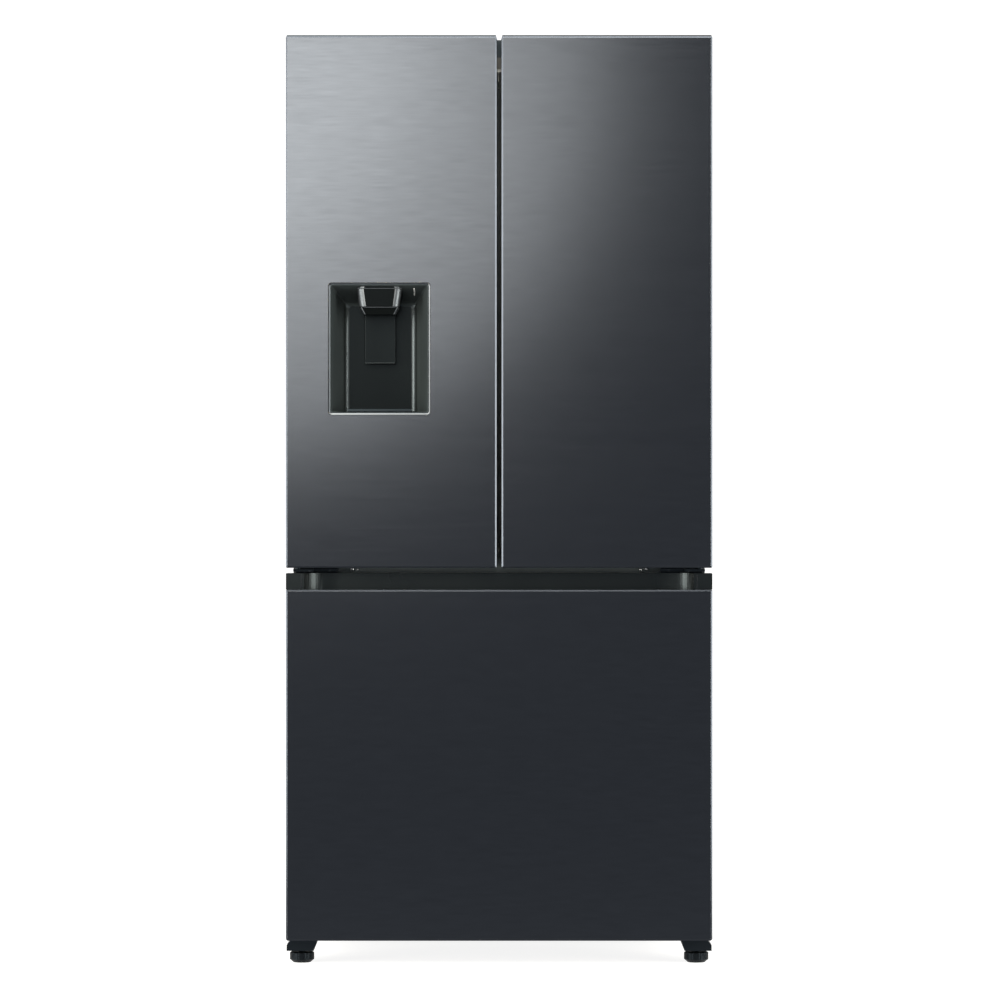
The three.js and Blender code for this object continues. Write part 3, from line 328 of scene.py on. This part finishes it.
# The recess's side walls and ceiling: a lighter copy of the recess's black plastic than its back wall, which
# is painted light on the side walls.
RECESS_WALL_PAINTED_LIGHT = moulded_plastic("recess_wall_painted_light", (0.0118, 0.0146, 0.0154), 0.38, bump=0.02, specular=0.15,
                              gloss=COOL)
RECESS_BACK = moulded_plastic("recess_back", (0.0026, 0.0033, 0.0036), 0.2, bump=0.01, specular=0.014,
                              gloss=COOL)
RECESS_CORNER = moulded_plastic("recess_corner", (0.0040, 0.0050, 0.0052), 0.32, bump=0.01, specular=0.36,
                                gloss=(0.76, 0.90, 1.0))
SILVER = polished_metal("silver_trim", (0.040, 0.045, 0.051), 0.42)
DULL_SILVER = polished_metal("dull_silver", (0.013, 0.015, 0.018), 0.35)
GRIP_BLACK = moulded_plastic("grip_black", (0.0014, 0.0018, 0.0020), 0.29, specular=0.13,
                             gloss=(0.76, 0.91, 1.0))
NOZZLE_BLACK = moulded_plastic("nozzle_black", (0.0012, 0.0015, 0.0016), 0.2, bump=0.01, specular=0.006,
                               gloss=COOL)
DARK_METAL = polished_metal("dark_metal", (0.010, 0.011, 0.013), 0.35)
SCREW_STEEL = polished_metal("screw_steel", (0.30, 0.31, 0.32), 0.25)
INDICATOR = moulded_plastic("indicator", (0.20, 0.21, 0.215), 0.4, specular=0.2)
TRIM_GREY = moulded_plastic("trim_grey", (0.30, 0.32, 0.33), 0.35)
FOOT_BLACK = moulded_plastic("foot_black", (0.0016, 0.0018, 0.0020), 0.4, specular=0.10, gloss=COOL)
NODE_MATERIALS = {"middle_rail": RAIL_PAINTED_LIGHT, "foot_left": FOOT_BLACK, "foot_right": FOOT_BLACK,
                  "dispenser_lever": RECESS_BACK, "drawer_frame": GRIP_BLACK}


def give_materials():
    for part in frame["record"]["subparts"]:
        data = NODES[part["node"]].data
        data.materials.clear()
        data.materials.append(NODE_MATERIALS.get(part["node"]) or MATERIALS[part["material_slot"]])


def soften_edges(names, width, segments=2, angle=30, edge_material=None):
    """Bevels on CAD nodes, which leave their meshes as they are."""
    for name in names:
        node = NODES[name]
        weld = node.modifiers.new("weld", "WELD")
        weld.merge_threshold = WELD_DISTANCE
        bevel = node.modifiers.new("bevel", "BEVEL")
        bevel.width = width
        bevel.segments = segments
        bevel.limit_method = "ANGLE"
        bevel.angle_limit = math.radians(angle)
        bevel.harden_normals = True
        if edge_material:
            node.data.materials.append(edge_material)
            bevel.material = len(node.data.materials) - 1


# ---------------------------------------------------------------- mesh parts, in millimetres
def box_mm(node):
    low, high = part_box(node)
    return [value / MM for value in low], [value / MM for value in high]


def rounded_rectangle(x0, x1, z0, z1, radius, steps=5):
    """Points around a rectangle with rounded corners, anticlockwise from its lower right corner."""
    corners = ((x1 - radius, z0 + radius, -90), (x1 - radius, z1 - radius, 0),
               (x0 + radius, z1 - radius, 90), (x0 + radius, z0 + radius, 180))
    turns = [(x, z, math.radians(start + 90 * step / steps))
             for x, z, start in corners for step in range(steps + 1)]
    return [(x + radius * math.cos(angle), z + radius * math.sin(angle)) for x, z, angle in turns]


def loft(loops, ring=False):
    """Points and faces through loops of equal length, capped at both ends or joined last to first."""
    count = len(loops[0])
    faces = []
    for a in range(len(loops) if ring else len(loops) - 1):
        b = (a + 1) % len(loops)
        for i in range(count):
            j = (i + 1) % count
            faces.append((a * count + i, a * count + j, b * count + j, b * count + i))
    if not ring:
        faces.append(tuple(range(count)))
        faces.append(tuple(range((len(loops) - 1) * count, len(loops) * count)))
    return [point for loop in loops for point in loop], faces


def slab(x0, x1, z0, z1, face, back, radius=1.0, bevel=0.6, axis="y"):
    """A plate with rounded corners and a rolled edge round its outer face, which may point either way."""
    towards = 1 if back > face else -1
    rolls = [math.radians(angle) for angle in (0, 30, 60, 90)]
    steps = [(0, back)]
    steps += [(bevel * (1 - math.cos(a)), face + towards * bevel * (1 - math.sin(a))) for a in rolls]
    loops = []
    for inset, level in steps:
        outline = rounded_rectangle(x0 + inset, x1 - inset, z0 + inset, z1 - inset, max(radius - inset, 0.05))
        loops.append([(x, level, z) if axis == "y" else (x, z, level) for x, z in outline])
    return loft(loops)


def revolved(profile, centre, axis="y", steps=20):
    """A round piece from (radius, distance along the axis) pairs."""
    loops = []
    for radius, along in profile:
        ring = [(radius * math.cos(2 * math.pi * i / steps), radius * math.sin(2 * math.pi * i / steps))
                for i in range(steps)]
        cx, cy, cz = centre
        if axis == "y":
            loops.append([(cx + a, cy + along, cz + b) for a, b in ring])
        else:
            loops.append([(cx + a, cy + b, cz + along) for a, b in ring])
    return loft(loops)


def screw(centre, radius, axis="y", towards=-1):
    """A pan-head screw with a round socket."""
    profile = ((1, 0), (1, 0.35), (0.92, 0.55), (0.7, 0.68), (0.42, 0.72), (0.36, 0.68), (0.34, 0.3))
    return revolved([(radius * r, towards * radius * h) for r, h in profile], centre, axis)


def framed(section, x0, x1, z0, z1, corner):
    """A ring round a rectangle: the section is (distance inside its edge, y) pairs."""
    loops = []
    for inset, y in section:
        radius = max(corner - inset, 0.3)
        outline = rounded_rectangle(x0 + inset, x1 - inset, z0 + inset, z1 - inset, radius, 8)
        loops.append([(x, y, z) for x, z in outline])
    return loft(loops, ring=True)


def make_piece(name, shapes, materials, body, replaces=(), pick=None, sharp=35):
    """A piece from (points, faces) shapes. pick gives a face's material from its centre and normal."""
    mesh = bpy.data.meshes.new(name)
    made = bmesh.new()
    for points, faces in shapes:
        corners = [made.verts.new(Vector(point) * MM) for point in points]
        for face in faces:
            made.faces.new([corners[i] for i in face])
    bmesh.ops.recalc_face_normals(made, faces=made.faces)
    made.to_mesh(mesh)
    made.free()
    mesh.shade_smooth()
    mesh.set_sharp_from_angle(angle=math.radians(sharp))
    for material in materials:
        mesh.materials.append(material)
    if pick:
        for polygon in mesh.polygons:
            polygon.material_index = materials.index(pick(polygon.center / MM, polygon.normal))
    piece = bpy.data.objects.new(name, mesh)
    bpy.context.scene.collection.objects.link(piece)
    piece.modifiers.new("flat_faces", "WEIGHTED_NORMAL").keep_sharp = True
    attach(piece, body)
    if replaces:
        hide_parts(*replaces)
    return piece


# ---------------------------------------------------------------- dispenser
FACE = FRONT / MM  # the object's front plane
DISPENSER_X = -229
MOUTH = {"y": FACE + 1, "half": 92.7, "bottom": 1057, "top": 1300}
REAR = {"y": FACE + 95, "half": 68, "bottom": 1058, "top": 1268}
LEVER_SLOT = {"half": 31, "bottom": 1150, "top": 1262, "y": FACE + 100}
RECESS_FILLET = 9
RECESS_WALL_THICKNESS = 2.4
SLIT = 0.3  # the space left between two pieces
NOZZLE_FRONT = FACE + 5.5
NOZZLE_BACK = FACE + 52
NOZZLE_BOTTOM = 1258
LIP_BOTTOM = 1244.5
CHEEK_TURN = math.radians(60)  # how far a cheek curves from the front to the side
CHEEK_STEPS = 8
CHEEK_DEPTH = 24  # the silver part of a cheek


def recess_outline(y, inset=0.0, corner=4.0, lift=None):
    """The recess narrows and its ceiling slopes down towards the back. lift is the inset at the bottom."""
    share = (y - MOUTH["y"]) / (REAR["y"] - MOUTH["y"])
    half, bottom, top = (MOUTH[key] + (REAR[key] - MOUTH[key]) * share for key in ("half", "bottom", "top"))
    x0, x1 = DISPENSER_X - half + inset, DISPENSER_X + half - inset
    return rounded_rectangle(x0, x1, bottom + (inset if lift is None else lift), top - min(inset, 5), corner)


def ceiling_at(y):
    return MOUTH["top"] + (REAR["top"] - MOUTH["top"]) * (y - MOUTH["y"]) / (REAR["y"] - MOUTH["y"])


def add_recess():
    """A shell from its outer back, round the mouth's rim, to the back wall and the lever's slot."""
    fillet, wall = RECESS_FILLET, RECESS_WALL_THICKNESS
    lip = MOUTH["y"] + 8
    loops = [
        [(x, LEVER_SLOT["y"] + 2, z) for x, z in recess_outline(REAR["y"], -wall, 6)],
        [(x, REAR["y"], z) for x, z in recess_outline(REAR["y"], -wall, 6)],
        [(x, lip, z) for x, z in recess_outline(lip, -wall)],
        [(x, lip - 0.5, z) for x, z in recess_outline(lip, -1.3)],
        [(x, MOUTH["y"] + 0.3, z) for x, z in recess_outline(MOUTH["y"], -1.3)],
        [(x, MOUTH["y"], z) for x, z in recess_outline(MOUTH["y"], -1)],
        [(x, MOUTH["y"], z) for x, z in recess_outline(MOUTH["y"], -0.3)],
        [(x, MOUTH["y"] + 0.3, z) for x, z in recess_outline(MOUTH["y"], 0)],
    ]
    for turn in (0, 10, 22, 34, 46, 58, 70, 80, 90):
        angle = math.radians(turn)
        y = REAR["y"] - fillet * (1 - math.sin(angle))
        rise = 1 - math.cos(angle)
        outline = recess_outline(y, fillet * rise, 4.0 + 2 * rise, lift=2 * rise)
        loops.append([(x, y, z) for x, z in outline])
    slot_outline = rounded_rectangle(DISPENSER_X - LEVER_SLOT["half"], DISPENSER_X + LEVER_SLOT["half"],
                                     LEVER_SLOT["bottom"], LEVER_SLOT["top"], 3)
    loops += [[(x, y, z) for x, z in slot_outline] for y in (REAR["y"], LEVER_SLOT["y"])]

    # Side walls and ceiling take the lighter plastic with the painted light; the back wall and the corner
    # fillets take their own plastics.
    def finish(centre, normal):
        if centre.y < REAR["y"] - fillet or abs(normal.z) > 0.5:
            return RECESS_WALL_PAINTED_LIGHT
        return RECESS_BACK if centre.y > REAR["y"] - 0.1 else RECESS_CORNER

    make_piece("dispenser_recess_shell", [loft(loops)], [RECESS_WALL_PAINTED_LIGHT, RECESS_BACK, RECESS_CORNER],
               "left_door", replaces=["dispenser_recess"], pick=finish, sharp=50)


def nozzle_loop(share, half, front, back, bottom, top_at, cheek):
    """One level of the nozzle: a flat front between two cheeks that curve back."""
    width, depth = cheek
    arc = [CHEEK_TURN * step / CHEEK_STEPS for step in range(CHEEK_STEPS + 1)]
    across, away = width / math.sin(arc[-1]), depth / (1 - math.cos(arc[-1]))
    plan = [(half - width + across * math.sin(a), front + away * (1 - math.cos(a))) for a in arc]
    plan.append((half, back))
    outline = plan + [(-x, y) for x, y in reversed(plan)]
    return [(DISPENSER_X + x, y, bottom + share * (top_at(y) - bottom)) for x, y in outline]


def add_nozzle():
    """The housing and the lip under it, as levels of (share of the height, half width, step back)."""
    front, back = NOZZLE_FRONT, NOZZLE_BACK
    levels = ((0, 37.3, 1.4), (0.025, 38.2, 0.4), (0.06, 38.7, 0.0), (0.5, 41.2, 0.0), (0.88, 43.3, 0.0),
              (0.91, 43.0, 0.4), (0.93, 42.2, 1.3), (1.0, 42.0, 1.5))
    body = [nozzle_loop(share, half, front + step, back, NOZZLE_BOTTOM, lambda y: ceiling_at(y) - SLIT,
                        (13, 9))
            for share, half, step in levels]
    lip_levels = ((0, 30.5, 5.5), (0.08, 31.0, 5.0), (0.9, 36.6, 3.2), (1.0, 37.0, 3.2))
    lip = [nozzle_loop(share, half, front + step, back - 8, LIP_BOTTOM, lambda y: NOZZLE_BOTTOM - SLIT,
                       (4, 4))
           for share, half, step in lip_levels]

    def finish(centre, normal):
        on_cheek = abs(normal.x) > 0.03 and abs(normal.z) < 0.75 and centre.y < front + CHEEK_DEPTH
        return SILVER if on_cheek else NOZZLE_BLACK

    make_piece("dispenser_nozzle_body", [loft(body), loft(lip)], [NOZZLE_BLACK, SILVER], "left_door",
               replaces=["dispenser_nozzle"], pick=finish, sharp=50)
    lines = [slab(DISPENSER_X - 31, DISPENSER_X + 31, 1257.3, 1258.7, front - 0.3, front + 2, 0.6, 0.4),
             slab(DISPENSER_X - 43, DISPENSER_X + 43, 1293.2, 1294.8, front - 0.4, front + 2, 0.7, 0.5),
             slab(DISPENSER_X - 41, DISPENSER_X + 41, 1299.3, 1301.2, FACE + 1.2, FACE + 5, 0.8, 0.6)]
    make_piece("dispenser_nozzle_trim", lines, [DULL_SILVER], "left_door")


def add_indicator():
    """A small lamp window let into the recess's sloping ceiling."""
    near, far = FACE + 16, FACE + 51
    outline = rounded_rectangle(-163.9, -161.3, near, far, 1.2)
    loops = [[(x, y, ceiling_at(y) + drop) for x, y in outline] for drop in (-0.1, -0.8)]
    make_piece("dispenser_indicator", [loft(loops)], [INDICATOR], "left_door")


def add_dispenser_frame():
    """The bright frame, whose front slopes in towards the recess."""
    low, high = box_mm("dispenser_frame")
    front, back = low[1], high[1]
    section = ((0, back), (0, front + 0.9), (0.2, front + 0.3), (0.6, front), (0.9, front + 0.04),
               (2.8, front + 0.32), (3.1, front + 0.52), (3.2, front + 0.9), (3.2, back))
    make_piece("dispenser_frame_trim", [framed(section, low[0], high[0], low[2], high[2], 7.3)],
               [MATERIALS["chrome_trim"]], "left_door", replaces=["dispenser_frame"], sharp=25)


# ---------------------------------------------------------------- gaskets
def add_gasket(node, body, corner, flap=None):
    """A magnetic gasket: base, folded bellows and flat face. A flap closes the gap between the doors."""
    low, high = box_mm(node)
    y = low[1]
    depth = high[1] - y
    section = ((4, 0), (14, 0), (14, 2.2), (16.8, 3.7), (14.6, 5.6), (17.6, 7.4), (17.6, depth - 0.6),
               (17, depth), (1, depth), (0.4, depth - 0.6), (0.4, 7.4), (3.4, 5.6), (1.2, 3.7), (4, 2.2))
    placed = [(inset, y + step) for inset, step in section]
    shapes = [framed(placed, low[0], high[0], low[2], high[2], corner)]
    if flap:
        shapes.append(slab(*flap, low[2] + 6, high[2] - 6, y + depth - 3, y + depth - 0.9, 0.8, 0.4))
    make_piece(f"{node}_bellows", shapes, [MATERIALS["gasket_rubber"]], body,
               replaces=[node])


# ---------------------------------------------------------------- small parts
HANDLE_FACE = FACE + 22  # the front of the block at each end of the grip channel
HANDLE_HALF = 379
BEAD_HALF = 0.7
RAIL_SCREWS = ((284, 756, 3.3), (273, 755, 2.2))  # (distance from the middle, height, radius)
SCREW_RADIUS = 4
COVER_SCREW_Y = -165
BIN_TRIM = (66, 76.4)  # heights above the bin's bottom


def add_rail_details():
    """Screws in the middle rail and ribs on the hinge brackets."""
    rail_face = box_mm("middle_rail")[0][1]
    shapes, ribs = [], []
    for side in (-1, 1):
        shapes += [screw((side * x, rail_face, z), radius) for x, z, radius in RAIL_SCREWS]
        low, high = box_mm("hinge_middle_left" if side < 0 else "hinge_middle_right")
        for centre, half, front in ((364, 0.9, low[1]), (326.5, 1.3, low[1] + 26)):
            x0, x1 = sorted((side * (centre - half), side * (centre + half)))
            ribs.append(slab(x0, x1, 751.2, 757.2, front - 0.8, front + 1, 0.8, 0.5))
    make_piece("rail_screws", shapes, [SCREW_STEEL], "cabinet")
    make_piece("hinge_middle_ribs", ribs, [DULL_SILVER], "cabinet")


def add_handle_beads():
    """A bead along each end of the grip channel's mouth."""
    top = box_mm("drawer_frame")[1][2]
    shapes = [slab(x - BEAD_HALF, x + BEAD_HALF, top - 30, top - 1.5, HANDLE_FACE - 0.5, HANDLE_FACE + 0.5,
                   0.6, 0.4)
              for x in (-HANDLE_HALF, HANDLE_HALF)]
    make_piece("handle_end_beads", shapes, [DARK_METAL], "freezer_drawer")


def add_back_details():
    """Screws round the back panel and the machine cover, and two pressed ribs."""
    panel_high = box_mm("back_panel")[1]
    face = panel_high[1]
    half = panel_high[0] - 10
    places = [(side * half, z) for side in (-1, 1) for z in (345, 690, 1035, 1380, 1725)]
    places += [(x, 1728) for x in (-200, 0, 200)]
    places += [(side * half, z) for side in (-1, 1) for z in (80, 190, 300)]
    places += [(x, 306) for x in (-200, 0, 200)] + [(x, 74) for x in (-200, 0, 200)]
    screws = [screw((x, face, z), SCREW_RADIUS, towards=1) for x, z in places]
    make_piece("back_screws", screws, [SCREW_STEEL], "cabinet")
    ribs = [slab(x0, x1, 370, 1690, face + 0.8, face - 0.4, 26, 1.0) for x0, x1 in ((-360, -20), (20, 360))]
    make_piece("back_panel_ribs", ribs, [MATERIALS["galvanised"]], "cabinet")


def add_top_details():
    top = box_mm("top_cover")[1][2]
    shapes = [screw((x, COVER_SCREW_Y, top), SCREW_RADIUS, axis="z", towards=1)
              for x in (-330, -110, 110, 330)]
    make_piece("top_cover_screws", shapes, [SCREW_STEEL], "cabinet")


def add_shelf_trims():
    for node in ("shelf_upper", "shelf_middle", "crisper_cover"):
        low, high = box_mm(node)
        face, back = low[1] - 2.4, low[1] - 0.1
        shape = slab(low[0] + 0.5, high[0] - 0.5, low[2] - 1, high[2] + 1.2, face, back, 2.5, 1.1)
        make_piece(f"{node}_trim", [shape], [TRIM_GREY], "cabinet")


def add_bin_trims():
    for node, body in (("left_door_bin", "left_door"), ("right_door_bin_lower", "right_door"),
                       ("right_door_bin_upper", "right_door")):
        low, high = box_mm(node)
        bottom, top = (low[2] + level for level in BIN_TRIM)
        shape = slab(low[0] + 0.5, high[0] - 0.5, bottom, top, high[1] + 1.8, high[1] + 0.1, 2, 1)
        make_piece(f"{node}_trim", [shape], [TRIM_GREY], body)


# ---------------------------------------------------------------- build
add_camera()
add_world(WORLD_STRENGTH)
add_floor()
add_lights()
bpy.context.scene.view_settings.view_transform = "Standard"

give_materials()
# The bevels of the doors and the drawer take the lighter steel, which paints a highlight along their edges.
soften_edges(["left_door_skin", "right_door_skin", "drawer_skin"], 1.5 * MM, segments=4, angle=25,
             edge_material=STEEL_EDGE_HIGHLIGHT)
soften_edges(["left_door_frame", "right_door_frame", "drawer_frame", "top_cover"], 0.8 * MM)
soften_edges(["dispenser_lever"], 1.0 * MM, segments=3, edge_material=RECESS_CORNER)
soften_edges(["dispenser_tray"], 0.5 * MM)

add_recess()
add_nozzle()
add_indicator()
add_dispenser_frame()
add_gasket("left_door_gasket", "left_door", 3, flap=(-9, -1.2))
add_gasket("right_door_gasket", "right_door", 3, flap=(-0.2, 9))
add_gasket("drawer_gasket", "freezer_drawer", 3)
add_rail_details()
add_handle_beads()
add_back_details()
add_top_details()
add_shelf_trims()
add_bin_trims()
